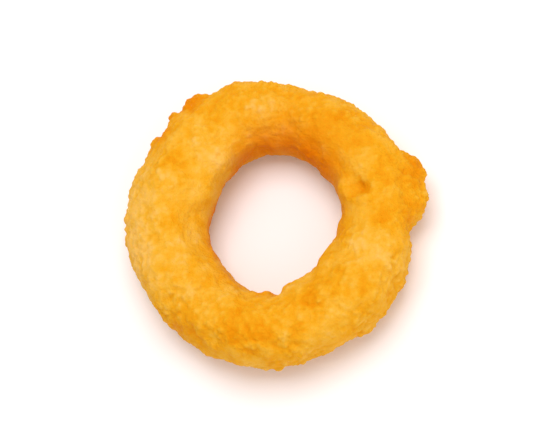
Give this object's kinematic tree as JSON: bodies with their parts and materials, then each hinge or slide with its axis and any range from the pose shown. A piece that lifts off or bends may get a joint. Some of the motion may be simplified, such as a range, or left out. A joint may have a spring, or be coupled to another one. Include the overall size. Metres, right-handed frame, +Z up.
{
  "type": "battered onion ring",
  "caption": "Fried onion ring in an uneven golden batter crust: a thick lumpy band round an open hole, lying flat to rest on a plate or board.",
  "frame": {"origin": "middle of the ring's box, on the level that it rests on", "axes": "+Z up, out of the face that shows; +X towards the thick shoulder of batter on the rim; +Y towards the two crisp knobs on the rim"},
  "size_m": [0.0706, 0.07, 0.0187],
  "materials": {
    "fried_batter": "satin"
  },
  "bodies": {
    "root": {"onion_ring": "fried_batter"}
  },
  "joints": []
}
